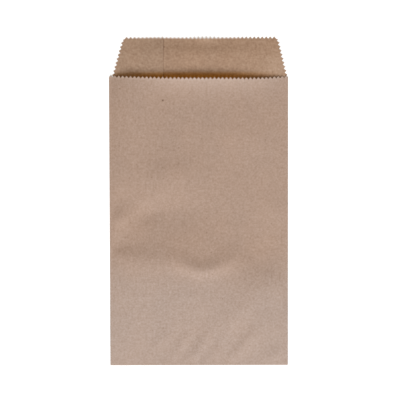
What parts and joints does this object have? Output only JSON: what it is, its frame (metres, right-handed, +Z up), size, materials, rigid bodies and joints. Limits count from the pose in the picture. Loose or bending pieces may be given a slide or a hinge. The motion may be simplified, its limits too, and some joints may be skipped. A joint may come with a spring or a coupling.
{
  "type": "kraft paper bag",
  "caption": "Flat pinch-bottom kraft paper bag lying open-mouthed on its back, with a pinked lip and a tapered flap.",
  "frame": {"origin": "on the floor under the middle of the bag's outline", "axes": "+X across the bag, +Y from the bottom fold to the flap, +Z up through the front panel"},
  "size_m": [0.132, 0.2436, 0.0094],
  "materials": {
    "kraft_paper": "uncoated brown kraft, matte, with fine fibres and faint creases"
  },
  "bodies": {
    "root": {"paper_bag": "kraft_paper"}
  },
  "joints": []
}
